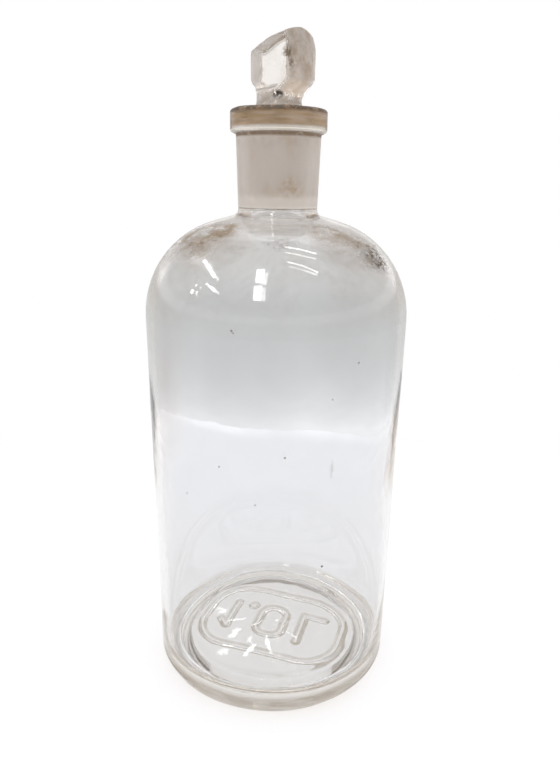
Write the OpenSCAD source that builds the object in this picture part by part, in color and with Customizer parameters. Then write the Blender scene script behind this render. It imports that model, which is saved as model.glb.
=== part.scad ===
// Reagent bottle for one litre, with a ground-in glass stopper.
// Millimetres. The origin is the centre of the base on the surface it stands on, and +Z is up.
// The mark under the base runs along X.

/* [Body] */
// Outside diameter at the top of the wall
body_d = 100; // [84:1:120]
// Outside diameter at the bottom of the wall, less than body_d by the mould's draft
body_base_d = 98.4; // [84:0.1:120]
// Height of the top of the wall, where the shoulder starts
wall_top = 150; // [100:1:200]
// Thickness of the wall
wall = 3; // [2:0.1:4]

/* [Base] */
// Outside radius of the heel
heel_r = 6.5; // [4:0.5:9]
// Radius of the corner between the wall and the floor inside
floor_fillet = 5; // [3:0.5:7]
// Height of the lowest part of the floor inside, next to the wall
floor_edge_z = 8; // [7:0.5:12]
// Height of the raised middle of the floor inside
floor_z = 11.6; // [11:0.1:14]
// Depth of the hollow under the base
push_up_h = 7; // [4:0.5:7.5]
// Diameter of the hollow where it meets the bearing ring
push_up_d = 76; // [72:1:80]
// Diameter of the hollow's flat top
push_up_top_d = 70; // [68:1:72]

/* [Shoulder] */
// Radius of the shoulder's arc
shoulder_r = 36; // [28:1:38]
// Slope of the shoulder where it reaches the neck, in degrees
shoulder_slope = 15.5; // [10:0.5:20]
// Radius of the outside corner between the shoulder and the neck
neck_fillet = 2; // [2:0.5:6]
// Radius of the inside corner between the shoulder and the throat
throat_fillet = 6; // [4:0.5:8]

/* [Neck and collar] */
// Outside diameter of the neck
neck_d = 29.8; // [28:0.1:30.4]
// Height of the lip
lip_z = 223; // [215:0.5:230]
// Diameter of the collar round the lip
collar_d = 34.8; // [34:0.1:38]
// Height of the collar
collar_h = 7.9; // [6:0.1:10]
// Radius of the collar's edges
collar_edge_r = 1.2; // [0.5:0.1:1.4]
// Radius of the corner under the collar
collar_fillet = 1; // [0.6:0.1:1.2]

/* [Ground joint] */
// Diameter of the ground socket at the lip
socket_d = 23; // [20:0.1:24]
// Loss of diameter for each millimetre of depth
joint_taper = 0.1; // [0.05:0.01:0.12]
// Depth that the plug reaches below the lip
plug_depth = 32; // [26:0.5:34]
// Depth of the socket past the end of the plug
socket_relief = 2; // [1:0.5:3]
// Gap between the plug and the socket, measured along a radius
joint_gap = 0.04; // [0.02:0.01:0.08]

/* [Stopper stem] */
// Diameter of the stem
stem_d = 16; // [12:0.5:18]
// Height of the stem's lower end above the lip
stem_rise = 2.6; // [2:0.1:4]
// Radius of the rounded end of the plug
plug_edge_r = 1.5; // [0.5:0.1:2]

/* [Stopper head] */
// Outline of the head seen square on, across and up from its foot, anticlockwise
head_outline = [
    [11.9, 5.8], [11.9, 17.4], [9.4, 23], [-0.5, 22],
    [-11.4, 18.2], [-11.4, 6.5], [-3.8, 0], [3.4, 0]
];
// Thickness between the two flat faces
head_t = 13.4; // [11:0.1:16]
// Bevel between a face and the rim: width across the face, and depth in the thickness
head_bevel = [1.7, 5];
// Gap between the lip and the head's foot
head_rise = 1.9; // [1:0.1:4]
// Turn of the head about the bottle's axis, in degrees
head_turn = -32; // [-180:1:180]
// Shift of the head off the plug's axis, along its width and its thickness
head_shift = [0.7, 0.6];

/* [Capacity mark] */
// Length of the frame round the mark
mark_l = 64; // [50:1:66]
// Width of the frame round the mark
mark_w = 43; // [36:1:46]
// Radius of the frame's corners
mark_corner_r = 17; // [8:1:18]
// Width of the raised lines
mark_line = 2.2; // [1:0.1:2.6]
// Height of the raised lines
mark_relief = 0.9; // [0.4:0.1:1.2]
// Height of the figures
figure_h = 20; // [14:0.5:22]
// Width of the figure 0
figure_w = 13; // [11:0.5:14]
// Radius of the figure 0's corners
figure_corner_r = 5.5; // [4:0.5:5.5]
// Place of the figure 1 along the mark
one_x = -19; // [-22:0.5:-17]
// Size of the flag of the figure 1
flag_l = 4; // [2:0.5:5]
// Place of the point along the mark
point_x = -11; // [-13:0.5:-10]
// Place of the upright of the litre sign along the mark
litre_x = 12.5; // [10:0.5:14]
// Length of the foot of the litre sign
litre_l = 10; // [6:0.5:12]

/* [Hidden] */
$fn = 96;
EPS = 0.01;
FAR = 60;
body_r = body_d / 2;
base_r = body_base_d / 2;
neck_r = neck_d / 2;
collar_r = collar_d / 2;
stem_r = stem_d / 2;
collar_z = lip_z - collar_h;
plug_end_z = lip_z - plug_depth;
socket_end_z = plug_end_z - socket_relief;
throat_r = socket_r(socket_end_z);
shoulder_x = body_r - shoulder_r;
plug_top_z = lip_z - 0.4;
stem_z = lip_z + stem_rise;
head_z = lip_z + head_rise;
figure_top = figure_h / 2;

// Radius of the ground socket at height z
function socket_r(z) = socket_d / 2 - (lip_z - z) * joint_taper / 2;

// Height of the shoulder's sloping line at radius x, for a surface t inside the outer one
function slope_z(x, t) =
    wall_top + (shoulder_r - t) / cos(shoulder_slope)
    - (x - shoulder_x) * tan(shoulder_slope);

// Angle of the outward normal of the outline's edge from a to b
function edge_angle(a, b) = atan2(a[0] - b[0], b[1] - a[1]);

// A square with its opposite corners at a and b
module block_2d(a, b) {
    translate(a) square(b - a);
}

// Half section of the shoulder and what is above it up to height top, t inside the outer surface,
// joined to a neck of radius r by a corner of radius fillet
module shoulder_2d(t, r, fillet, top) {
    arc_r = shoulder_r - t;
    touch_x = shoulder_x + arc_r * sin(shoulder_slope);
    fillet_x = r + fillet;
    fillet_z = slope_z(fillet_x, t) + fillet / cos(shoulder_slope);
    end_x = fillet_x - fillet * sin(shoulder_slope);

    intersection() {
        translate([shoulder_x, wall_top]) circle(arc_r);
        block_2d([0, wall_top], [body_r, lip_z]);
    }
    polygon([
        [0, wall_top], [shoulder_x, wall_top],
        [touch_x, slope_z(touch_x, t)], [0, slope_z(0, t)]
    ]);
    block_2d([0, wall_top], [r, top]);
    difference() {
        polygon([
            [r - 1, slope_z(r, t) - 1], [r - 1, fillet_z], [fillet_x, fillet_z],
            [end_x, slope_z(end_x, t)], [end_x, slope_z(end_x, t) - 1]
        ]);
        translate([fillet_x, fillet_z]) circle(fillet);
    }
}

// Half section of the wall from height z up, with a rounded lower corner of radius r
module wall_2d(t, z, r) {
    block_2d([0, z], [base_r - t - r, z + r]);
    translate([base_r - t - r, z + r]) circle(r);
    polygon([[0, z + r], [base_r - t, z + r], [body_r - t, wall_top], [0, wall_top]]);
}

// Half section of the collar with rounded outside edges, and the corner under it
module collar_2d() {
    e = collar_edge_r;
    block_2d([0, collar_z], [collar_r - e, lip_z]);
    block_2d([0, collar_z + e], [collar_r, lip_z - e]);
    for (z = [collar_z + e, lip_z - e]) {
        translate([collar_r - e, z]) circle(e);
    }
    difference() {
        block_2d([neck_r - 1, collar_z - collar_fillet], [neck_r + collar_fillet, collar_z + 1]);
        translate([neck_r + collar_fillet, collar_z - collar_fillet]) circle(collar_fillet);
    }
}

// Half section of the space inside: body, shoulder, throat and ground socket
module cavity_2d() {
    difference() {
        union() {
            wall_2d(wall, floor_edge_z, floor_fillet);
            shoulder_2d(wall, throat_r, throat_fillet, socket_end_z + EPS);
        }
        polygon([
            [0, 0], [push_up_top_d / 2 + 7, 0], [push_up_top_d / 2 + 7, floor_edge_z],
            [push_up_top_d / 2, floor_z], [0, floor_z]
        ]);
    }
    polygon([
        [0, socket_end_z], [throat_r, socket_end_z],
        [socket_r(lip_z + 1), lip_z + 1], [0, lip_z + 1]
    ]);
}

// A rectangle of length l and width w about the origin, with corners of radius r
module rounded_2d(l, w, r) {
    square([l, w - 2 * r], center = true);
    square([l - 2 * r, w], center = true);
    for (x = [-1, 1], y = [-1, 1]) {
        translate([x * (l / 2 - r), y * (w / 2 - r)]) circle(r);
    }
}

// A raised line along a rounded rectangle of outside size l by w
module loop_2d(l, w, r) {
    difference() {
        rounded_2d(l, w, r);
        rounded_2d(l - 2 * mark_line, w - 2 * mark_line, r - mark_line);
    }
}

// The generic capacity mark, one litre, as read from beneath the bottle
module mark_2d() {
    half = mark_line / 2;

    loop_2d(mark_l, mark_w, mark_corner_r);
    translate([one_x, 0]) {
        block_2d([-half, -figure_top], [half, figure_top]);
        polygon([
            [0, figure_top], [-flag_l, figure_top - flag_l],
            [-flag_l, figure_top - flag_l - mark_line], [0, figure_top - 2 * mark_line]
        ]);
    }
    translate([point_x, mark_line - figure_top]) circle(mark_line);
    loop_2d(figure_w, figure_h, figure_corner_r);
    translate([litre_x, 0]) {
        block_2d([0, -figure_top], [mark_line, figure_top]);
        block_2d([0, -figure_top], [litre_l, mark_line - figure_top]);
    }
}

// One moulded piece of glass, ground inside the neck
module bottle() {
    color([0.80, 0.82, 0.80]) union() {
        rotate_extrude() difference() {
            union() {
                wall_2d(0, 0, heel_r);
                shoulder_2d(0, neck_r, neck_fillet, lip_z - collar_edge_r);
                collar_2d();
            }
            cavity_2d();
            polygon([
                [0, -1], [push_up_d / 2, -1], [push_up_d / 2, 0],
                [push_up_top_d / 2, push_up_h], [0, push_up_h]
            ]);
        }
        translate([0, 0, push_up_h + EPS]) rotate([180, 0, 0]) {
            linear_extrude(mark_relief + EPS) mark_2d();
        }
    }
}

// The ground plug, and the flare from it to the stem
module plug() {
    end_r = socket_r(plug_end_z) - joint_gap;
    top_r = socket_r(plug_top_z) - joint_gap;
    flare = stem_z - plug_top_z;
    rotate_extrude() {
        difference() {
            polygon([[0, plug_end_z], [end_r, plug_end_z], [top_r, plug_top_z], [0, plug_top_z]]);
            difference() {
                block_2d([end_r - plug_edge_r, plug_end_z - 1], [end_r + 1, plug_end_z + plug_edge_r]);
                translate([end_r - plug_edge_r, plug_end_z + plug_edge_r]) circle(plug_edge_r);
            }
        }
        block_2d([0, plug_top_z - EPS], [stem_r, head_z + stem_r / 2]);
        difference() {
            block_2d([stem_r - EPS, plug_top_z - EPS], [stem_r + flare, stem_z]);
            translate([stem_r + flare, stem_z]) circle(flare);
        }
    }
}

// The flat eight-sided head: each edge of the outline cuts the rim and its two bevels
module head() {
    inner_t = head_t / 2 - head_bevel[1];
    intersection_for (i = [0:7]) {
        a = head_outline[i];
        b = head_outline[(i + 1) % 8];
        angle = edge_angle(a, b);
        reach = a * [cos(angle), sin(angle)];
        rotate([0, -angle, 0]) linear_extrude(2 * FAR, center = true) polygon([
            [-FAR, -head_t / 2], [reach - head_bevel[0], -head_t / 2],
            [reach, -inner_t], [reach, inner_t],
            [reach - head_bevel[0], head_t / 2], [-FAR, head_t / 2]
        ]);
    }
}

// One pressed piece of glass, ground on the plug
module stopper() {
    color([0.82, 0.80, 0.76]) union() {
        plug();
        translate([0, 0, head_z]) rotate([0, 0, head_turn]) {
            translate([head_shift[0], head_shift[1], 0]) head();
        }
    }
}

bottle();
stopper();
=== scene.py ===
import math

import bpy
import numpy as np
from mathutils import Matrix, Vector


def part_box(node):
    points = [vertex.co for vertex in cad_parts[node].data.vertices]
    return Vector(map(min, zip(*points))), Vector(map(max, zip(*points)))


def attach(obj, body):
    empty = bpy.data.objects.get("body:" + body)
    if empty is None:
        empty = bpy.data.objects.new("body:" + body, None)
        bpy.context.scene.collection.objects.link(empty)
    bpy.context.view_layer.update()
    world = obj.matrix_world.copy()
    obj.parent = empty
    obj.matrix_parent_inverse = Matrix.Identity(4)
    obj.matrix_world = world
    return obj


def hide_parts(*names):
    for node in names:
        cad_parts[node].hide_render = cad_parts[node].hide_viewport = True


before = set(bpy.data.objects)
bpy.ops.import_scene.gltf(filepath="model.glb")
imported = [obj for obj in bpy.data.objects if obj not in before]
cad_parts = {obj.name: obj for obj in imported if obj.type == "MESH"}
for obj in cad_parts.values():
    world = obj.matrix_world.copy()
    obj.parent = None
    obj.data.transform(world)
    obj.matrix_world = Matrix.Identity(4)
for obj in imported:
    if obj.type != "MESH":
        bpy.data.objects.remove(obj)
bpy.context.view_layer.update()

# Shapes are worked out in millimetres, and Blender's objects are in metres.
MM = 0.001
BODY_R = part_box("bottle")[1].x / MM
LIP_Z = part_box("bottle")[1].z / MM
STOPPER_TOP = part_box("stopper")[1].z / MM
PLUG_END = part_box("stopper")[0].z / MM

WALL = 3.0
WALL_TOP = 150.0
SHOULDER_R = 36.0
SHOULDER_SLOPE = math.radians(15.5)
NECK_FOOT_R, NECK_TOP_R = 14.55, 15.35
COLLAR_R, COLLAR_Z = 17.4, 215.0
SOCKET_END = PLUG_END - 2.0
SOCKET_D = 23.0
JOINT_TAPER = 0.1
JOINT_GAP = 0.04
# From the middle of the base outward: flat underside, its rounded corner, bearing ring, heel
UNDERSIDE_R, PUSH_UP_R, RING_R, HEEL_R = 33.7, 35.4, 38.2, 49.17
PUSH_UP_H = 7.0
FLOOR_TOP = 11.9


# ---------------------------------------------------------------- bottle: the meridian line

def slope_z(r, inside):
    """Height of the shoulder's sloping line at radius r, for a surface that far inside."""
    return (WALL_TOP + (SHOULDER_R - inside) / math.cos(SHOULDER_SLOPE)
            - (r - BODY_R + SHOULDER_R) * math.tan(SHOULDER_SLOPE))


def socket_r(z):
    """Radius of the ground socket at height z."""
    return SOCKET_D / 2 - (LIP_Z - z) * JOINT_TAPER / 2


def rounded_path(corners, arc_step=6.0):
    """Points (r, z) along straight runs with rounded corners. A corner is (r, z, radius, longest
    step of the run that leads to it), and arc_step is the longest step round one, in degrees."""
    points = [np.array(corners[0][:2], float)]

    def run_to(end, longest):
        start = points[-1]
        count = math.ceil(np.linalg.norm(end - start) / longest - 1e-6)
        for i in range(1, count + 1):
            points.append(start + (end - start) * i / count)

    for i in range(1, len(corners)):
        here = np.array(corners[i][:2], float)
        radius, longest = corners[i][2:]
        if radius == 0 or i == len(corners) - 1:
            run_to(here, longest)
            continue
        before = here - np.array(corners[i - 1][:2], float)
        after = np.array(corners[i + 1][:2], float) - here
        before /= np.linalg.norm(before)
        after /= np.linalg.norm(after)
        turn = math.acos(np.clip(before @ after, -1, 1))
        reach = radius * math.tan(turn / 2)
        run_to(here - before * reach, longest)
        side = 1 if before[0] * after[1] - before[1] * after[0] > 0 else -1
        centre = here - before * reach + side * radius * np.array([-before[1], before[0]])
        spoke = points[-1] - centre
        steps = max(2, math.ceil(math.degrees(turn) / arc_step))
        for k in range(1, steps + 1):
            a = side * turn * k / steps
            points.append(centre + np.array([
                spoke[0] * math.cos(a) - spoke[1] * math.sin(a),
                spoke[0] * math.sin(a) + spoke[1] * math.cos(a)]))
    return np.array(points)


# The outside runs from the push-up under the base, over the lip, to a line in the mouth. The inside
# takes over there and runs to the middle of the floor.
MOUTH_R = socket_r(LIP_Z) + 0.1
HANDOVER = (socket_r(LIP_Z - 3), LIP_Z - 3, 0, 1)
OUTER = rounded_path([
    (UNDERSIDE_R, PUSH_UP_H, 0, 1),
    (PUSH_UP_R, PUSH_UP_H, 1.2, 1),
    (RING_R, 0, 1.1, 1.4),
    (HEEL_R, 0, 6.6, 1.5),
    (BODY_R, WALL_TOP, 0, 4.2),
    (BODY_R, slope_z(BODY_R, 0), SHOULDER_R, 3),
    (NECK_FOOT_R, slope_z(NECK_FOOT_R, 0), 2.3, 1.6),
    (NECK_TOP_R, COLLAR_Z + 0.1, 0.9, 2.4),
    (COLLAR_R, COLLAR_Z, 1.25, 0.5),
    (COLLAR_R, LIP_Z, 1.3, 1.6),
    (MOUTH_R, LIP_Z, 0.8, 0.9),
    HANDOVER,
])
INNER = rounded_path([
    HANDOVER,
    (socket_r(SOCKET_END + 1.2), SOCKET_END + 1.2, 0, 3),
    (socket_r(SOCKET_END), SOCKET_END, 0, 1.2),
    (socket_r(SOCKET_END) + 0.05, slope_z(9.8, WALL), 5.5, 2),
    (BODY_R - WALL, slope_z(BODY_R - WALL, WALL), SHOULDER_R - WALL, 2),
    (BODY_R - WALL, WALL_TOP, 0, 3),
    (46.2, 8.0, 5.2, 4.2),
    (41.6, 8.3, 3.2, 1.2),
    (34.8, 11.3, 6.0, 0.8),
    (0.0, FLOOR_TOP, 0, 2.0),
], arc_step=6.5)


# ---------------------------------------------------------------- bottle: the mark and the waves

def to_segment(x, y, a, b):
    """Distance to the straight line from a to b."""
    run = (b[0] - a[0], b[1] - a[1])
    t = np.clip(((x - a[0]) * run[0] + (y - a[1]) * run[1]) / (run[0] ** 2 + run[1] ** 2), 0, 1)
    return np.hypot(x - a[0] - t * run[0], y - a[1] - t * run[1])


def to_loop(x, y, length, width, radius):
    """Distance to the outline of a rounded rectangle about the origin."""
    qx, qy = np.abs(x) - length / 2 + radius, np.abs(y) - width / 2 + radius
    return np.abs(np.hypot(np.maximum(qx, 0), np.maximum(qy, 0))
                  + np.minimum(np.maximum(qx, qy), 0) - radius)


# How far the mark stands proud, and how far its flanks reach from the middle of a stroke
MARK_RELIEF, MARK_FOOT = 1.4, 2.7
# Length, width and corner radius of its frame, and how far its digits reach from their middle
MARK_FRAME = (61.8, 40.8, 15.9)
DIGIT_TOP = 9.1


def mark(theta, r, z):
    """How far the generic capacity mark stands proud of the underside: 1.0 L in a frame, which
    reads from beneath."""
    x, y = r * np.cos(theta), -r * np.sin(theta)
    frame_line = to_loop(x, y, *MARK_FRAME)
    one = (to_segment(x, y, (-19, -DIGIT_TOP), (-19, DIGIT_TOP)),
           to_segment(x, y, (-19, DIGIT_TOP), (-22.6, 5.3)))
    point = to_segment(x, y, (-11.05, -8.3), (-10.95, -8.3)) - 0.7
    nought = to_loop(x, y, 11.2, 2 * DIGIT_TOP, 4.8)
    letter = (to_segment(x, y, (13.4, -DIGIT_TOP), (13.4, DIGIT_TOP)),
              to_segment(x, y, (13.4, -DIGIT_TOP), (22, -DIGIT_TOP)))
    d = np.minimum.reduce([frame_line, *one, point, nought, *letter])
    return MARK_RELIEF * (0.5 + 0.5 * np.cos(math.pi * np.clip(d / MARK_FOOT, 0, 1)))


def wave(theta, z, seed, lobes, longest, shortest, count=12):
    """A smooth random wave over a surface of revolution, about 1 high. It has up to so many lobes
    round the axis, and waves between shortest and longest along it."""
    rng = np.random.default_rng(seed)
    total = 0
    for _ in range(count):
        m = rng.integers(0, lobes + 1)
        q = 2 * math.pi / rng.uniform(shortest, longest) * rng.choice([-1, 1])
        total = total + np.cos(m * theta + q * z + rng.uniform(0, 2 * math.pi))
    return total * math.sqrt(2 / count)


def rise(x, low, high):
    """Rises smoothly from 0 at low to 1 at high."""
    t = np.clip((x - low) / (high - low), 0, 1)
    return t * t * (3 - 2 * t)


def outer_waves(theta, r, z):
    """Hollows in the outside of the wall and the collar, and faint ridges round the heel. All reach
    inward, so that the glass stays inside the CAD model."""
    body = rise(z, 8, 30) * (1 - rise(z, 178, 186))
    collar = rise(z, 213.5, COLLAR_Z) * (0.4 + 0.6 * rise(z, 221, LIP_Z))
    heel = rise(z, 0.8, 2.4) * (1 - rise(z, 9, 13)) * rise(r, 44, 47)
    depth = -0.08 * body * (1 + np.tanh(wave(theta, z, 5, 5, 190, 70)))
    depth = depth - 0.07 * collar * (1 + np.tanh(wave(theta, z, 6, 13, 40, 12)))
    depth = depth - 0.11 * heel * (1 + np.cos(1.75 * z + 0.9 * wave(theta, z, 8, 4, 60, 30)))
    return depth * np.where(z > 213, rise(r, MOUTH_R, MOUTH_R + 1.1), 1)


def inner_waves(theta, r, z):
    """Long waves and fine ones on the inside of the wall, none in the socket or at the axis."""
    body = 1 - rise(z, 172, 184)
    depth = 0.17 * body * wave(theta, z, 11, 5, 190, 70)
    depth = depth + 0.015 * body * wave(theta, z, 12, 12, 70, 22)
    return depth * rise(r, 2, 12)


# ---------------------------------------------------------------- bottle: the mesh

SEGMENTS = 224
# The rings on the underside are this close together, to carry the mark
RING_STEP = 0.42
# Small rings have fewer vertices: the count is halved while it is over FEWEST and the radius for
# each vertex is under CROWDED
CROWDED, FEWEST = 0.034, 30


def normals_of(path):
    """Directions (r, z) square to the path, out of the glass."""
    along = np.gradient(path, axis=0)
    along /= np.linalg.norm(along, axis=1)[:, None]
    return np.stack([along[:, 1], -along[:, 0]], 1)


def ring(r, z, count, normal, relief):
    """Points round the axis, moved along the normal by what relief says of each."""
    theta = np.arange(count) * 2 * math.pi / count
    r, z = np.full(count, float(r)), np.full(count, float(z))
    height = relief(theta, r, z)
    r, z = r + normal[0] * height, z + normal[1] * height
    return np.stack([r * np.cos(theta), r * np.sin(theta), z], 1)


def bottle_rings():
    """Rings of the closed surface, from the middle of the underside round to the middle of the
    floor, and whether each of them is on ground glass."""
    rings, ground = [], []
    radius = RING_STEP
    while radius < UNDERSIDE_R - RING_STEP / 2:
        count = SEGMENTS * 2
        while count > FEWEST and radius / count < CROWDED:
            count //= 2
        rings.append(ring(radius, PUSH_UP_H, count, (0, -1), mark))
        ground.append(False)
        radius += RING_STEP
    for path, relief in ((OUTER, outer_waves), (INNER[1:-1], inner_waves)):
        for (r, z), normal in zip(path, normals_of(path)):
            rings.append(ring(r, z, SEGMENTS, normal, relief))
            ground.append(SOCKET_END + 0.3 < z < LIP_Z - 1.2 and r < MOUTH_R)
    return rings, ground


def skin(rings, first, last):
    """Faces between neighbouring rings, whose counts are the same or differ by a factor of two,
    closed by a vertex at each end. Each face comes with the number of the ring it starts from."""
    verts = [np.array([first])] + rings + [np.array([last])]
    starts = np.cumsum([0] + [len(v) for v in verts])
    faces, source = [], []
    for i in range(len(verts) - 1):
        n, m = len(verts[i]), len(verts[i + 1])
        a, b = int(starts[i]), int(starts[i + 1])
        if n == 1:
            new = [(a, b + (k + 1) % m, b + k) for k in range(m)]
        elif m == 1:
            new = [(a + k, a + (k + 1) % n, b) for k in range(n)]
        elif n == m:
            new = [(a + k, a + (k + 1) % n, b + (k + 1) % n, b + k) for k in range(n)]
        elif m == 2 * n:
            new = []
            for k in range(n):
                p, q = a + k, a + (k + 1) % n
                s, t, u = b + 2 * k, b + 2 * k + 1, b + (2 * k + 2) % m
                new += [(p, q, t), (p, t, s), (q, u, t)]
        else:
            new = []
            for k in range(m):
                s, t, u = a + 2 * k, a + 2 * k + 1, a + (2 * k + 2) % n
                p, q = b + k, b + (k + 1) % m
                new += [(s, t, p), (t, q, p), (t, u, q)]
        faces += new
        source += [i] * len(new)
    return np.concatenate(verts), faces, source


def mesh_object(name, points, faces, slots=None):
    mesh = bpy.data.meshes.new(name)
    mesh.from_pydata((points * MM).tolist(), [], faces)
    mesh.polygons.foreach_set("use_smooth", [True] * len(mesh.polygons))
    if slots is not None:
        mesh.polygons.foreach_set("material_index", slots)
    mesh.update()
    piece = bpy.data.objects.new(name, mesh)
    bpy.context.scene.collection.objects.link(piece)
    return piece


def build_bottle():
    rings, ground = bottle_rings()
    points, faces, source = skin(rings, (0, 0, PUSH_UP_H), (0, 0, FLOOR_TOP))
    ground = [False] + ground + [False]
    slots = [1 if ground[i] and ground[i + 1] else 0 for i in source]
    return mesh_object("glass_bottle", points, faces, slots)


# ---------------------------------------------------------------- stopper: its shape as a field

# Corners (x, z) of the flat head, its thickness, and how far its bevel reaches in from the outline
# and through the thickness
HEAD_OUTLINE = [(11.9, 5.8), (11.9, 17.4), (9.4, 23.0), (-0.5, 22.0),
                (-11.4, 18.2), (-11.4, 6.5), (-3.8, 0.0), (3.4, 0.0)]
HEAD_T, BEVEL = 13.4, (1.7, 5.0)
HEAD_TURN = math.radians(-32)
HEAD_SHIFT = (0.7, 0.6)
HEAD_Z = LIP_Z + 1.9
EDGE_SOFTNESS = 0.3
# The head's ripple, and how far all of it is drawn in so that it stays inside the CAD model
RIPPLE, DRAWN_IN = 0.045, 0.05
PLUG_TOP = LIP_Z - 0.4
PLUG_END_ROUNDING, PLUG_TOP_ROUNDING = 1.6, 0.35
STEM_R, STEM_FOOT = 8.0, LIP_Z - 4
STEM_FILLET, HEAD_FILLET = 3.0, 1.3

# Directions across the head and through it, from the broad face in front to the one behind
ACROSS_HEAD = (math.cos(HEAD_TURN), math.sin(HEAD_TURN), 0)
THROUGH_HEAD = (-math.sin(HEAD_TURN), math.cos(HEAD_TURN), 0)


def round_cut(a, b, r):
    """The part inside both a and b, with the edge between them rounded."""
    return (np.minimum(np.maximum(a, b), -r)
            + np.hypot(np.maximum(a + r, 0), np.maximum(b + r, 0)))


def round_join(a, b, r):
    """The part inside a or b, with the corner between them filled."""
    return (np.maximum(np.minimum(a, b), r)
            - np.hypot(np.maximum(r - a, 0), np.maximum(r - b, 0)))


def head_field(x, y, z):
    """Distance out of the head: a plate cut by planes, with soft edges and a slight ripple."""
    c, s = math.cos(HEAD_TURN), math.sin(HEAD_TURN)
    x, y = c * x + s * y - HEAD_SHIFT[0], -s * x + c * y - HEAD_SHIFT[1]
    z = z - HEAD_Z
    planes = [np.abs(y) - HEAD_T / 2]
    for i, (ax, az) in enumerate(HEAD_OUTLINE):
        bx, bz = HEAD_OUTLINE[(i + 1) % len(HEAD_OUTLINE)]
        angle = math.atan2(ax - bx, bz - az)
        out = (x - ax) * math.cos(angle) + (z - az) * math.sin(angle)
        planes.append(out)
        planes.append((BEVEL[1] * out + BEVEL[0] * (np.abs(y) - HEAD_T / 2 + BEVEL[1]))
                      / math.hypot(*BEVEL))
    top = np.maximum.reduce(planes)
    total = sum(np.exp((p - top) / EDGE_SOFTNESS) for p in planes)
    ripple = RIPPLE * np.sin(x / 2.9 + 1.1) * np.sin(z / 3.4 + 0.4) * np.sin(y / 2.3 + 0.9)
    return top + EDGE_SOFTNESS * np.log(total) + ripple + DRAWN_IN


def stopper_field(p):
    """Distance out of the stopper: below nought inside the glass, above it outside."""
    x, y, z = p
    rho = np.hypot(x, y)
    cone = rho - (socket_r(z) - JOINT_GAP)
    plug = round_cut(cone, PLUG_END - z, PLUG_END_ROUNDING)
    plug = round_cut(plug, z - PLUG_TOP, PLUG_TOP_ROUNDING)
    stem = np.maximum(rho - STEM_R, np.maximum(STEM_FOOT - z, z - HEAD_Z - STEM_R / 2))
    return round_join(round_join(plug, stem, STEM_FILLET), head_field(x, y, z), HEAD_FILLET)


# ---------------------------------------------------------------- stopper: the mesh

# The box that is searched for the surface, and the size of its cells
NET_R, NET_MARGIN, NET_STEP = 14, 0.7, 0.36
# The step that slopes are measured over, and the least square of a slope that is divided by
SLOPE_STEP, LEAST_SLOPE = 0.004, 0.05


def surface_net(field, low, high, step_mm):
    """Quads of the surface where field is zero, one vertex in each cell that it crosses."""
    axes = [np.arange(a, b + step_mm, step_mm) for a, b in zip(low, high)]
    value = field(np.meshgrid(*axes, indexing="ij"))
    sign = value < 0
    n = [len(a) - 1 for a in axes]
    corners = [(i, j, k) for i in (0, 1) for j in (0, 1) for k in (0, 1)]

    def at(array, c):
        return array[c[0]:n[0] + c[0], c[1]:n[1] + c[1], c[2]:n[2] + c[2]]

    count = sum(at(sign, c).astype(np.int8) for c in corners)
    cells = np.argwhere((count > 0) & (count < 8))
    index = np.full(n, -1)
    index[tuple(cells.T)] = np.arange(len(cells))
    # each vertex goes to the mean of where the surface crosses its cell's edges
    total, hits = np.zeros((len(cells), 3)), np.zeros(len(cells))
    for a in corners:
        for axis in range(3):
            if a[axis]:
                continue
            b = tuple(v + (i == axis) for i, v in enumerate(a))
            va = value[tuple((cells + a).T)]
            vb = value[tuple((cells + b).T)]
            crossed = (va < 0) != (vb < 0)
            t = np.where(crossed, va / np.where(crossed, va - vb, 1), 0)
            place = cells + a + np.eye(3)[axis] * t[:, None]
            total += np.where(crossed[:, None], place, 0)
            hits += crossed
    points = total / hits[:, None] * step_mm + np.array([a[0] for a in axes])
    # each grid edge that crosses the surface gives a quad of the four cells round it
    quads = []
    for axis in range(3):
        u, v = (axis + 1) % 3, (axis + 2) % 3
        first = [slice(1, -1)] * 3
        first[axis] = slice(0, -1)
        second = list(first)
        second[axis] = slice(1, None)
        change = sign[tuple(first)].astype(np.int8) - sign[tuple(second)]
        for way in (1, -1):
            edge = np.argwhere(change == way)
            edge[:, u] += 1
            edge[:, v] += 1
            du, dv = np.eye(3, dtype=int)[u], np.eye(3, dtype=int)[v]
            loop = [edge - du - dv, edge - dv, edge, edge - du]
            if way < 0:
                loop.reverse()
            quads.append(np.stack([index[tuple(c.T)] for c in loop], 1))
    return points, np.concatenate(quads)


def settle(field, points, quads, spreads=3):
    """Moves the vertices onto the surface, spread evenly over it."""
    edges = np.concatenate([quads[:, [i, (i + 1) % 4]] for i in range(4)])

    def onto_surface(p):
        h = SLOPE_STEP
        slope = np.stack([(field((p + h * d).T) - field((p - h * d).T)) / (2 * h)
                          for d in np.eye(3)], 1)
        share = field(p.T) / np.maximum((slope ** 2).sum(1), LEAST_SLOPE)
        return p - slope * share[:, None], slope

    for _ in range(spreads):
        points, slope = onto_surface(points)
        mean, hits = np.zeros_like(points), np.zeros(len(points))
        for a, b in ((0, 1), (1, 0)):
            np.add.at(mean, edges[:, a], points[edges[:, b]])
            np.add.at(hits, edges[:, a], 1)
        drift = mean / hits[:, None] - points
        slope /= np.linalg.norm(slope, axis=1)[:, None]
        points = points + 0.5 * (drift - slope * (drift * slope).sum(1)[:, None])
    for _ in range(2):
        points, slope = onto_surface(points)
    return points


def build_stopper():
    points, quads = surface_net(stopper_field, (-NET_R, -NET_R, PLUG_END - NET_MARGIN),
                                (NET_R, NET_R, STOPPER_TOP + NET_MARGIN), NET_STEP)
    points = settle(stopper_field, points, quads)
    ground = points[quads].mean(1)[:, 2] < PLUG_TOP - 0.5
    return mesh_object("glass_stopper", points, quads.tolist(), ground.astype(int))


# ---------------------------------------------------------------- materials: writing node trees

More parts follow.
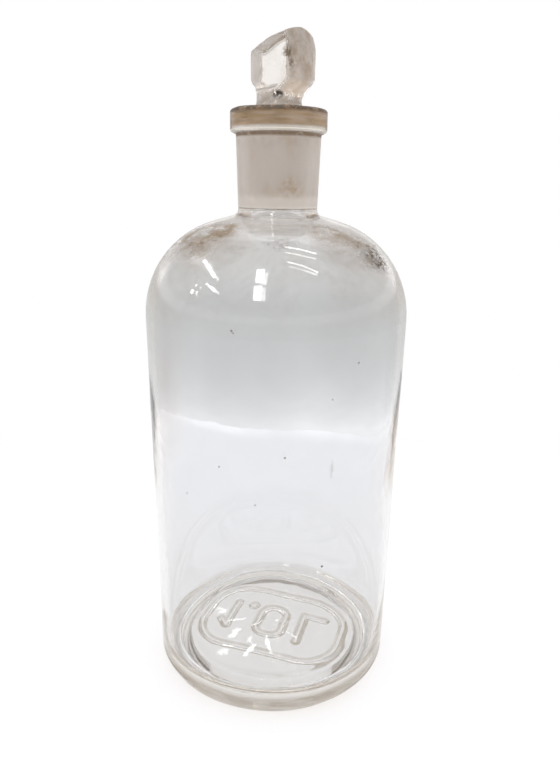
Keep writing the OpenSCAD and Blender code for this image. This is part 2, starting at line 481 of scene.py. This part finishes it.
class Nodes:
    """A short way to write one node tree. Numbers, colours and other sockets are all inputs."""

    def __init__(self, tree):
        self.tree = tree
        tree.nodes.clear()

    def add(self, kind, inputs=None, out=0, **settings):
        n = self.tree.nodes.new("ShaderNode" + kind)
        for key, value in settings.items():
            setattr(n, key, value)
        for key, value in (inputs or {}).items():
            if isinstance(value, bpy.types.NodeSocket):
                self.tree.links.new(value, n.inputs[key])
            else:
                n.inputs[key].default_value = value
        return n.outputs[out]

    def finish(self, kind, **sockets):
        """Links the sockets to a new output node."""
        n = self.tree.nodes.new("ShaderNode" + kind)
        for key, socket in sockets.items():
            self.tree.links.new(socket, n.inputs[key])

    def math(self, operation, a, b=0.0, clamp=False):
        return self.add("Math", {0: a, 1: b}, operation=operation, use_clamp=clamp)

    def times(self, a, b, clamp=False):
        return self.math("MULTIPLY", a, b, clamp)

    def total(self, *terms):
        result = terms[0]
        for term in terms[1:]:
            result = self.math("ADD", result, term)
        return result

    def most(self, *terms):
        result = terms[0]
        for term in terms[1:]:
            result = self.math("MAXIMUM", result, term)
        return result

    def ramp(self, x, low, high, to_low=0.0, to_high=1.0):
        """Goes smoothly from to_low, where x is low, to to_high, where x is high."""
        return self.add("MapRange", {"Value": x, "From Min": low, "From Max": high,
                                     "To Min": to_low, "To Max": to_high},
                        interpolation_type="SMOOTHSTEP")

    def band(self, x, a, b, c, d):
        """0 below a, 1 from b to c, 0 above d."""
        return self.times(self.ramp(x, a, b), self.ramp(x, c, d, 1.0, 0.0))

    def height(self, place):
        return self.add("SeparateXYZ", {0: place}, out="Z")

    def along(self, place, direction):
        return self.add("VectorMath", {0: place, 1: direction}, out="Value",
                        operation="DOT_PRODUCT")

    def away(self, place, spot):
        return self.add("VectorMath", {0: place, 1: spot}, out="Value", operation="DISTANCE")

    def patches(self, place, spots):
        """The total of soft round patches, each a centre, a reach and a strength."""
        return self.total(*[
            self.times(self.ramp(self.away(place, spot), reach * 0.3, reach, 1.0, 0.0), strength)
            for spot, reach, strength in spots])

    def noise(self, vector, scale, detail=3.0, roughness=0.5, distortion=0.0):
        return self.add("TexNoise", {"Vector": vector, "Scale": scale, "Detail": detail,
                                     "Roughness": roughness, "Distortion": distortion})

    def scaled(self, vector, scale):
        return self.add("Mapping", {"Vector": vector, "Scale": scale})

    def drawn(self, vector, around, upward, scale, detail, roughness=0.5, distortion=0.0):
        """Noise drawn out one way: places are multiplied by around in x and y, by upward in z."""
        return self.noise(self.scaled(vector, (around, around, upward)), scale, detail, roughness,
                          distortion)

    def mix(self, factor, a, b):
        return self.add("Mix", {0: factor, 6: a, 7: b}, out=2, data_type="RGBA")

    def bump(self, height, strength, distance):
        return self.add("Bump", {"Strength": strength, "Distance": distance, "Height": height})


GLASS_IOR = 1.5
GLASS_SHADE = (0.985, 0.984, 0.981, 1.0)
GLASS_ABSORPTION, GLASS_DENSITY = (0.55, 0.42, 0.22, 1.0), 14.0


def glass_material(name, build):
    """Solid glass whose surface detail comes from build, which works in millimetres. It lets lamps
    and bounced light through."""
    material = bpy.data.materials.new(name)
    material.use_nodes = True
    n = Nodes(material.node_tree)
    place = n.add("TexCoord", out="Object")
    place = n.add("VectorMath", {0: place, "Scale": 1 / MM}, operation="SCALE")
    colour, roughness, clear, normal = build(n, place)
    surface = n.add("BsdfPrincipled", {
        "Base Color": colour, "Roughness": roughness, "Transmission Weight": clear,
        "IOR": GLASS_IOR, "Normal": normal})
    shadow = n.add("LightPath", out="Is Shadow Ray")
    open_to = n.math("MAXIMUM", shadow, shadow.node.outputs["Is Diffuse Ray"])
    through = n.add("BsdfTransparent", {"Color": GLASS_SHADE})
    both = n.add("MixShader", {0: open_to, 1: surface, 2: through})
    body = n.add("VolumeAbsorption", {"Color": GLASS_ABSORPTION, "Density": GLASS_DENSITY})
    n.finish("OutputMaterial", Surface=both, Volume=body)
    return material


# ---------------------------------------------------------------- materials: the bottle's glass

# Patches, each a centre, a reach and a strength
GRIT = [((40, -9.5, 173.8), 7.5, 1.5), ((37, -12, 176.5), 10, 0.8), ((-18, -30, 179.2), 13, 0.45),
        ((-30, -24, 175), 11, 0.35), ((-8, 34, 181), 12, 0.6), ((-40, 12, 170), 9, 0.6)]
SMEARS = [((-17, -28, 180.5), 17, 1.0), ((-31, -18, 176.5), 13, 0.8), ((-2, -27.5, 183.5), 8, 0.25),
          ((-11, -27, 183), 8, 0.8), ((35, -9, 177.5), 15, 1.0), ((23, -18, 182), 11, 0.9),
          ((20, 30, 179), 20, 0.8), ((-30, 20, 178), 16, 0.7)]
STREAKS = [((-8.3, -15.3, 218.6), 8, 1.0), ((3, -17, 219.5), 8, 0.7), ((15, -8, 218.8), 5, 0.6),
           ((-6, 16, 219), 10, 0.8)]
SPECKS = [((1.2, -49.7, 153.1), 0.7, 0.9), ((1.8, -49.7, 152.4), 0.55, 0.8),
          ((39.2, -30.7, 141.5), 0.6, 0.9), ((18.7, -46.1, 110.3), 0.6, 0.9),
          ((-18, -46.1, 91.3), 0.6, 0.5), ((44, 22.5, 131), 0.6, 0.8)]
BLUSHES = [((-48, -13, 134), 30, 0.8), ((-47, -16, 105), 34, 0.8)]
# The scratch is a patch drawn out upwards, so its place counts heights at this much of their size
SCRATCH_SQUASH = 0.22
SCRATCH = [((33, -37.1, 23), 1.1, 1.0)]

# The side where the heel's stain and painted shade are strongest
HEEL_FRONT = (0.309, -0.951, 0)

WALL_TINT, NECK_TINT = (0.892, 0.902, 0.915, 1), (0.69, 0.645, 0.64, 1)
HEEL_STAIN_AND_SHADE, BLUSH_TINT = (0.28, 0.24, 0.195, 1), (0.74, 0.58, 0.51, 1)
MARK_GRIME_AND_SHADE, SCRATCH_GREY = (0.42, 0.37, 0.3, 1), (0.35, 0.36, 0.34, 1)
COLLAR_BROWN, STREAK_BROWN = (0.33, 0.175, 0.055, 1), (0.13, 0.07, 0.018, 1)
FILM_BROWN, HIGHLIGHT_TINT, DIRT = (0.29, 0.205, 0.125, 1), (0.95, 0.9, 0.8, 1), (0.07, 0.045, 0.025, 1)


def bottle_surface(n, place):
    """Clear moulded glass with its stains, some painted shade and a painted highlight, from the
    height z and the distance out from the axis.
    """
    z = n.height(place)
    flat = n.add("VectorMath", {0: place, 1: (1, 1, 0)}, operation="MULTIPLY")
    out = n.add("VectorMath", {0: flat}, out="Value", operation="LENGTH")
    outside = n.ramp(out, 39.5, 42.5)
    broad = n.noise(place, 0.035, 5.0, 0.62, 0.6)
    fine = n.noise(place, 0.35, 4.0, 0.6)

    # dust film over the shoulder, thinner down the wall, with brown smears
    haze = n.times(n.band(z, 146, 174, 187, 194),
                   n.times(n.ramp(broad, 0.4, 0.62), n.ramp(fine, 0.3, 0.62, 0.5, 1.0)))
    wiped = n.ramp(n.drawn(place, 0.5, 1.6, 0.22, 5.0, 0.65), 0.34, 0.62)
    smear = n.times(n.patches(place, SMEARS), wiped)
    # gritty stains low on the dome
    gritty = n.ramp(n.noise(place, 0.8, 6.0, 0.75), 0.47, 0.6)
    grit = n.times(n.patches(place, GRIT), gritty, clamp=True)
    # rubbed bands where bottles touch each other, and on the heel
    rubbed = n.total(n.band(z, 138, 147, 152, 158), n.times(n.band(z, 3, 5, 8, 12), outside))
    scuffs = n.times(rubbed, n.ramp(n.drawn(place, 0.5, 2.6, 0.5, 6.0, 0.75), 0.6, 0.72))

    # the collar's brown stain with darker streaks, dirt on the rim, a dark brown line under the
    # collar, and a painted highlight on the collar's lower edge
    collar = n.band(z, 216.2, 217.2, 223.5, 225)
    stained = n.ramp(n.drawn(place, 0.12, 1.2, 0.6, 4.0, 0.6), 0.3, 0.7, 0.8, 1.0)
    streaked = n.ramp(n.drawn(place, 0.15, 1.0, 0.9, 4.0, 0.6), 0.35, 0.6)
    streak = n.times(n.times(collar, n.patches(place, STREAKS)), streaked)
    rim = n.times(n.times(n.band(z, 220.7, 222.0, 224, 225), n.ramp(out, 14.2, 15.4)),
                  n.ramp(n.noise(place, 0.42, 5.0, 0.7), 0.34, 0.5))
    under = n.times(n.band(z, 213.2, 214.0, 214.8, 215.3),
                    n.ramp(n.noise(place, 0.3, 4.0, 0.7), 0.2, 0.5))
    # painted highlight: a pale, cloudy line along the collar's lower edge
    painted_highlight = n.times(n.band(z, 215.3, 215.6, 215.9, 216.3), n.ramp(out, 16.2, 16.8))
    # the neck, greyed by the ground socket inside it, what ran down from the collar, and a faint
    # brown band of painted shade round the neck's foot
    neck = n.times(n.band(z, 188.3, 191, 214, 215), n.ramp(out, 13.5, 14.2))
    drips = n.times(n.band(z, 207, 213.5, 214.6, 215.2), n.ramp(fine, 0.35, 0.6))
    # painted shade: a faint brown darkening in a band round the neck's foot
    neck_foot_shade = n.times(n.band(z, 180.5, 184, 187, 188.5), n.ramp(fine, 0.3, 0.6, 0.5, 1.0))

    # a dark brown line along the foot, stain and painted shade on the thick glass of the heel,
    # and grime and painted shade on the mark's flanks
    foot = n.times(n.times(n.ramp(z, 0.3, 1.8, 1.0, 0.0), outside),
                   n.ramp(n.noise(place, 0.25, 4.0, 0.65), 0.3, 0.6, 0.35, 1.0))
    heel = n.times(n.times(n.ramp(z, 8.2, 11.2, 1.0, 0.0), n.ramp(out, 42, 46)),
                   n.ramp(n.drawn(place, 0.3, 1.6, 0.35, 4.0, 0.65), 0.3, 0.65, 0.7, 1.0))
    heel = n.times(heel, n.ramp(n.along(place, HEEL_FRONT), -30, 25, 0.3, 1.0))
    # the flanks of the mark's strokes darkened all round: grime and painted shade
    flank_grime_and_shade = n.times(n.band(z, 5.65, 5.95, 6.5, 6.9), n.ramp(out, 32.2, 33.2, 1.0, 0.0))
    flank_grime_and_shade = n.times(flank_grime_and_shade, n.ramp(n.noise(place, 0.16, 4.0, 0.6), 0.3, 0.6, 0.45, 1.0))
    # on the wall a faint pink cast, one short scratch, and specks: some scattered, some placed
    blush = n.times(n.patches(place, BLUSHES), n.ramp(broad, 0.35, 0.65, 0.3, 1.0))
    scratch = n.times(n.patches(n.scaled(place, (1, 1, SCRATCH_SQUASH)), SCRATCH),
                      n.ramp(n.drawn(place, 1, 0.4, 1.3, 4.0, 0.6, 0.8), 0.42, 0.56))
    spots = n.add("TexVoronoi", {"Vector": place, "Scale": 0.06}, out="Distance")
    which = n.add("SeparateColor", {0: spots.node.outputs["Color"]}, out="Red")
    scattered = n.times(n.ramp(spots, 0.018, 0.034, 1.0, 0.0), n.ramp(which, 0.45, 0.5))
    speck = n.most(scattered, n.patches(place, SPECKS))

    dirt = n.most(n.times(rim, 0.95), n.times(under, 0.7), n.times(foot, 0.5),
                  n.times(speck, 0.9), grit)
    brown = n.total(n.times(collar, stained), n.times(under, 0.7), n.times(drips, 0.2),
                    n.times(neck_foot_shade, 0.08))
    film = n.total(n.times(haze, 0.2), n.times(smear, 0.85), n.times(scuffs, 0.12),
                   n.times(neck, 0.12))
    colour = n.mix(neck, WALL_TINT, NECK_TINT)
    # the heel's and the mark flanks' tints are partly painted shade, and the pale collar edge is a
    # painted highlight
    for amount, tint in (
            (heel, HEEL_STAIN_AND_SHADE), (n.times(flank_grime_and_shade, 0.8), MARK_GRIME_AND_SHADE),
            (n.times(blush, 0.3), BLUSH_TINT), (brown, COLLAR_BROWN),
            (n.times(streak, 0.75), STREAK_BROWN), (n.times(scratch, 0.6), SCRATCH_GREY),
            (film, FILM_BROWN), (n.times(painted_highlight, 0.8), HIGHLIGHT_TINT), (dirt, DIRT)):
        colour = n.mix(amount, colour, tint)
    roughness = n.total(n.times(fine, 0.02), n.times(film, 0.45), n.times(dirt, 0.4),
                        n.times(brown, 0.2), n.times(painted_highlight, 0.3))
    cloudy = n.total(n.times(film, 0.35), n.times(dirt, 0.85), n.times(brown, 0.2),
                     n.times(painted_highlight, 0.5))
    clear = n.math("SUBTRACT", 1.0, cloudy, clamp=True)
    ripple = n.total(n.noise(place, 0.06, 2.0), n.times(n.noise(place, 0.5, 3.0), 0.03))
    return colour, roughness, clear, n.bump(ripple, 0.22, 0.0004)


# ---------------------------------------------------------------- materials: the ground glass

PLUG_STAIN = [((7, -7.4, 196), 6.5, 1.0)]
GROUND_TINT, GROUND_STAIN = (0.9, 0.87, 0.84, 1), (0.74, 0.6, 0.42, 1)
RING_TINT, END_TINT = (0.87, 0.83, 0.78, 1), (0.98, 0.965, 0.94, 1)


def ground_surface(n, place):
    """Ground glass with rings left by the grinding and a few stains, paler at the plug's end."""
    grain = n.noise(place, 5.0, 4.0, 0.7)
    rings = n.drawn(place, 0.03, 1.0, 1.6, 4.0, 0.7)
    end = n.ramp(n.height(place), PLUG_END + 0.8, PLUG_END + 4.5, 1.0, 0.0)
    clouds = n.ramp(n.drawn(place, 1, 0.6, 0.11, 4.0, 0.6), 0.46, 0.7)
    patch = n.times(n.patches(place, PLUG_STAIN), n.ramp(n.noise(place, 0.5, 4.0, 0.6), 0.35, 0.6))
    colour = n.mix(n.most(n.times(clouds, 0.5), patch), GROUND_TINT, GROUND_STAIN)
    colour = n.mix(n.times(rings, 0.25), colour, RING_TINT)
    colour = n.mix(n.times(end, 0.9), colour, END_TINT)
    roughness = n.total(0.34, n.times(grain, 0.2), n.times(rings, 0.08))
    clear = n.math("SUBTRACT", n.ramp(end, 0.0, 1.0, 0.66, 0.42), n.times(grain, 0.3))
    return colour, roughness, clear, n.bump(n.total(grain, n.times(rings, 1.5)), 0.35, 0.00012)


# ---------------------------------------------------------------- materials: the stopper's glass

CRUSTS = [((6, -10.6, 239.4), 3.2, 1.0), ((6.3, -10.6, 235.8), 2.6, 0.8),
          ((7.6, -8.9, 236.4), 2.6, 0.5), ((-6, 10.6, 236), 3.0, 0.7), ((-11, 2, 233), 2.4, 0.5)]
CURL_AT = (1.5, -5.8, 227.4)
HEAD_TINT, FOOT_BROWN = (0.985, 0.98, 0.985, 1), (0.3, 0.22, 0.14, 1)
RIM_GREY, RIM_BROWN = (0.5, 0.44, 0.42, 1), (0.37, 0.29, 0.22, 1)
CRUST_BROWN, CURL_BLACK = (0.1, 0.06, 0.03, 1), (0.03, 0.02, 0.013, 1)


def stopper_surface(n, place):
    """Clear pressed glass, with a stained rim round the head and a film on the stem."""
    z = n.height(place)
    through = n.math("ABSOLUTE", n.along(place, THROUGH_HEAD))
    broad = n.noise(place, 0.09, 4.0, 0.6, 0.5)
    fine = n.noise(place, 0.8, 4.0, 0.65)
    mottled = n.ramp(n.drawn(place, 1, 0.6, 0.3, 5.0, 0.68), 0.32, 0.68, 0.58, 1.0)
    rim = n.times(n.ramp(through, HEAD_T / 2 - 2.2, HEAD_T / 2 - 0.5, 1.0, 0.0),
                  n.ramp(z, 226, 231))
    film = n.total(n.times(n.ramp(broad, 0.45, 0.7), 0.2), n.times(rim, mottled),
                   n.times(n.band(z, 221.5, 223, 227.5, 231), 0.5))
    low = n.times(n.band(z, 222, 223.2, 225.5, 229),
                  n.ramp(n.noise(place, 0.45, 4.0, 0.7), 0.42, 0.6))
    # a dark curl at the head's foot, and crusts of dirt along the arris between a broad face and
    # the rim
    curl = n.times(n.band(n.away(place, CURL_AT), 1.2, 1.7, 2.3, 3.0),
                   n.ramp(n.noise(place, 0.4, 5.0, 0.7, 1.2), 0.4, 0.5))
    crusty = n.ramp(n.noise(place, 0.7, 5.0, 0.7), 0.42, 0.56)
    crust = n.times(n.patches(place, CRUSTS), crusty, clamp=True)

    tone = n.mix(n.ramp(n.along(place, ACROSS_HEAD), -3, 6), RIM_GREY, RIM_BROWN)
    colour = n.mix(n.math("MINIMUM", film, 1.0), HEAD_TINT, tone)
    colour = n.mix(n.times(low, 0.6), colour, FOOT_BROWN)
    colour = n.mix(crust, colour, CRUST_BROWN)
    colour = n.mix(curl, colour, CURL_BLACK)
    roughness = n.total(0.015, n.times(fine, 0.03), n.times(rim, 0.16), n.times(film, 0.3),
                        n.times(low, 0.2))
    cloudy = n.total(n.times(film, 0.4), n.times(low, 0.4), curl)
    clear = n.math("SUBTRACT", 1.0, cloudy, clamp=True)
    ripple = n.total(n.noise(place, 0.12, 2.0), n.times(fine, 0.008))
    return colour, roughness, clear, n.bump(ripple, 0.2, 0.0008)


# ---------------------------------------------------------------- the object

bottle = build_bottle()
stopper = build_stopper()
ground_glass = glass_material("ground_glass", ground_surface)
for piece, node, slot, material in (
        (bottle, "bottle", "bottle_glass", glass_material("moulded_glass", bottle_surface)),
        (stopper, "stopper", "stopper_glass", glass_material("pressed_glass", stopper_surface))):
    piece.data.materials.append(material)
    piece.data.materials.append(ground_glass)
    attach(piece, node)
    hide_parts(node)


# ---------------------------------------------------------------- the floor

FLOOR_HALF = 262.0
FLOOR_TURN = math.radians(4.6)
# How square the sheet's outline is: 2 would be a circle
FLOOR_SQUARENESS = 9
PAPER_TINTS = (0.885, 0.89, 0.905, 1), (0.915, 0.92, 0.935, 1)
WHITE = (1, 1, 1, 1)


def build_floor(count=160):
    """A sheet with the outline of a square with soft corners."""
    theta = np.arange(count) * 2 * math.pi / count
    power = FLOOR_SQUARENESS
    outline = (np.abs(np.cos(theta)) ** power + np.abs(np.sin(theta)) ** power) ** (-1 / power)
    reaches = [6, 30, 60, 100, 150, 200, 240, FLOOR_HALF]
    rings = [np.stack([r * outline * np.cos(theta), r * outline * np.sin(theta), 0 * theta], 1)
             for r in reaches]
    faces = [list(range(count))]
    for i in range(len(reaches) - 1):
        a, b = i * count, (i + 1) * count
        faces += [(b + k, b + (k + 1) % count, a + (k + 1) % count, a + k) for k in range(count)]
    return mesh_object("floor", np.concatenate(rings), faces)


def paper_material():
    """Pale paper whose edge glows faintly, a painted light that the wall shows as a streak."""
    material = bpy.data.materials.new("pale_floor")
    material.use_nodes = True
    n = Nodes(material.node_tree)
    place = n.add("TexCoord", out="Object")
    colour = n.mix(n.noise(place, 900.0, 3.0), *PAPER_TINTS)
    sides = n.add("VectorMath", {0: place}, operation="ABSOLUTE")
    reach = n.add("SeparateXYZ", {0: sides}, out="X")
    reach = n.most(reach, reach.node.outputs["Y"])
    # painted light: the sheet's edge glows, with noise in its strength
    edge_glow = n.times(n.ramp(reach, (FLOOR_HALF - 26) * MM, (FLOOR_HALF - 5) * MM),
                  n.ramp(n.noise(place, 14.0, 2.0), 0.35, 0.65, 0.04, 0.19))
    sheet = n.add("BsdfPrincipled", {
        "Base Color": colour, "Roughness": 0.85, "Specular IOR Level": 0.2,
        "Emission Color": WHITE, "Emission Strength": edge_glow})
    n.finish("OutputMaterial", Surface=sheet)
    return material


floor = build_floor()
floor.data.materials.append(paper_material())
floor.rotation_euler.z = FLOOR_TURN


# ---------------------------------------------------------------- the light

# The room's light by height, from -1 straight down to 1 straight up: pale below, with a thin bright
# line past the sheet's edge, dim walls, a brighter band above eye level and a bright ceiling
ROOM = [
    (-1.0, (1.05, 1.06, 1.08)), (-0.376, (1.06, 1.065, 1.08)), (-0.362, (1.18, 1.185, 1.195)),
    (-0.342, (1.03, 1.035, 1.045)), (-0.325, (0.935, 0.94, 0.95)), (-0.3, (0.85, 0.855, 0.865)),
    (-0.28, (0.80, 0.805, 0.81)), (-0.245, (0.755, 0.76, 0.76)), (-0.2, (0.715, 0.715, 0.715)),
    (-0.16, (0.685, 0.685, 0.68)), (-0.09, (0.70, 0.695, 0.68)), (-0.02, (0.67, 0.65, 0.62)),
    (0.07, (0.65, 0.62, 0.6)), (0.12, (1.0, 0.99, 0.98)), (0.22, (1.06, 1.05, 1.05)),
    (0.27, (0.72, 0.69, 0.68)), (0.42, (0.76, 0.745, 0.735)), (0.7, (1.2, 1.2, 1.21)),
    (1.0, (1.62, 1.62, 1.65))]


def build_room():
    """A world that lights the glass as the room does, behind a plain white backdrop."""
    world = bpy.data.worlds.new("studio")
    bpy.context.scene.world = world
    world.use_nodes = True
    n = Nodes(world.node_tree)
    direction = n.add("TexCoord", out="Generated")
    up = n.add("MapRange", {"Value": n.height(direction), "From Min": -1.0, "From Max": 1.0})
    sky = n.add("ValToRGB", {0: up})
    ramp = sky.node.color_ramp
    while len(ramp.elements) < len(ROOM):
        ramp.elements.new(0.5)
    for element, (height, value) in zip(ramp.elements, ROOM):
        element.position = (height + 1) / 2
        element.color = (*value, 1)
    uneven = n.ramp(n.drawn(direction, 2.2, 0.5, 1.6, 2.0), 0.3, 0.7, 0.95, 1.05)
    room = n.add("Background", {"Color": sky, "Strength": uneven})
    backdrop = n.add("Background", {"Color": WHITE, "Strength": 1.0})
    seen = n.add("LightPath", out="Is Camera Ray")
    n.finish("OutputWorld", Surface=n.add("MixShader", {0: seen, 1: room, 2: backdrop}))


build_room()

# Where the glass mirrors the lamps, on the shoulder and low in the base, and how far away the
# lamps hang, all in metres
SHOULDER_AT = Vector((0.005, -0.042, 0.170))
BASE_AT = Vector((0.009, -0.026, 0.012))
LAMP_REACH = 0.9


def lamp(name, first, last, width, radiance, seen_from=SHOULDER_AT):
    """A long lamp that the glass mirrors to the camera, from direction first to direction last."""
    a = seen_from + Vector(first).normalized() * LAMP_REACH
    b = seen_from + Vector(last).normalized() * LAMP_REACH
    data = bpy.data.lights.new(name, "AREA")
    data.shape = "RECTANGLE"
    data.size, data.size_y = (b - a).length, width
    # Blender gives a lamp of this power that radiance
    data.energy = 4 * radiance * data.size * data.size_y
    back = ((a + b) / 2 - seen_from).normalized()
    along = (b - a).normalized()
    along = (along - back * along.dot(back)).normalized()
    light = bpy.data.objects.new(name, data)
    bpy.context.scene.collection.objects.link(light)
    light.matrix_world = (Matrix.Translation((a + b) / 2)
                          @ Matrix((along, back.cross(along), back)).transposed().to_4x4())
    light.visible_camera = False
    light.visible_diffuse = False


lamp("window_top", (-0.066, -0.377, 0.924), (-0.030, -0.62, 0.785), 0.09, 14)
lamp("window_low", (-0.03, -0.672, 0.741), (0.005, -0.844, 0.536), 0.1, 14)
lamp("tube_left", (-0.695, 0.005, 0.719), (-0.598, -0.4, 0.694), 0.035, 14)
lamp("tube_low", (-0.685, -0.429, 0.589), (-0.573, -0.624, 0.531), 0.032, 12)
lamp("spot_left", (-0.848, -0.345, 0.401), (-0.83, -0.40, 0.41), 0.06, 14)
lamp("spot_high", (-0.799, -0.337, 0.498), (-0.79, -0.36, 0.50), 0.04, 12)
lamp("tube_back", (0.014, 0.187, 0.982), (0.324, 0.226, 0.919), 0.028, 10)
lamp("tube_right", (0.164, -0.146, 0.975), (0.542, -0.114, 0.832), 0.028, 10)
lamp("pane_left", (-0.345, 0.695, 0.625), (-0.305, 0.71, 0.645), 0.022, 16, BASE_AT)
lamp("pane_right", (-0.225, 0.74, 0.65), (-0.19, 0.745, 0.665), 0.016, 14, BASE_AT)


# ---------------------------------------------------------------- the camera

# 0.253 m from the bottle's axis and 0.197 m up, looking 18 degrees down, a twentieth of a turn
# round from square to the mark's line. The image is 766 pixels high.
TURN = math.radians(18)
DISTANCE, HEIGHT = 0.25298, 0.19729
TILT, ROLL, YAW = 0.31595, 0.01583, -0.00781
FOCAL_PX, CENTRE_Y, HEIGHT_PX = 655.28, 400.03, 766


def photo_camera():
    level = Vector((math.cos(YAW), math.sin(YAW), 0))
    ahead = Vector((-math.sin(YAW), math.cos(YAW), 0))
    forward = ahead * math.cos(TILT) - Vector((0, 0, 1)) * math.sin(TILT)
    upward = ahead * math.sin(TILT) + Vector((0, 0, 1)) * math.cos(TILT)
    right = level * math.cos(ROLL) + upward * math.sin(ROLL)
    top = upward * math.cos(ROLL) - level * math.sin(ROLL)
    data = bpy.data.cameras.new("camera")
    data.lens = FOCAL_PX * data.sensor_width / HEIGHT_PX
    data.shift_y = (CENTRE_Y - HEIGHT_PX / 2) / HEIGHT_PX
    data.clip_start = 0.01
    camera = bpy.data.objects.new("camera", data)
    bpy.context.scene.collection.objects.link(camera)
    camera.matrix_world = (Matrix.Rotation(TURN, 4, "Z")
                           @ Matrix.Translation((0, -DISTANCE, HEIGHT))
                           @ Matrix((right, top, -forward)).transposed().to_4x4())
    return camera


bpy.context.scene.camera = photo_camera()

view = bpy.context.scene.view_settings
view.view_transform = "Standard"
view.look = "None"
cycles = bpy.context.scene.cycles
# Light caught in the wall mirrors many times before it leaves, and the usual limits turn it black
cycles.max_bounces = cycles.glossy_bounces = cycles.transmission_bounces = 96
cycles.transparent_max_bounces = 32
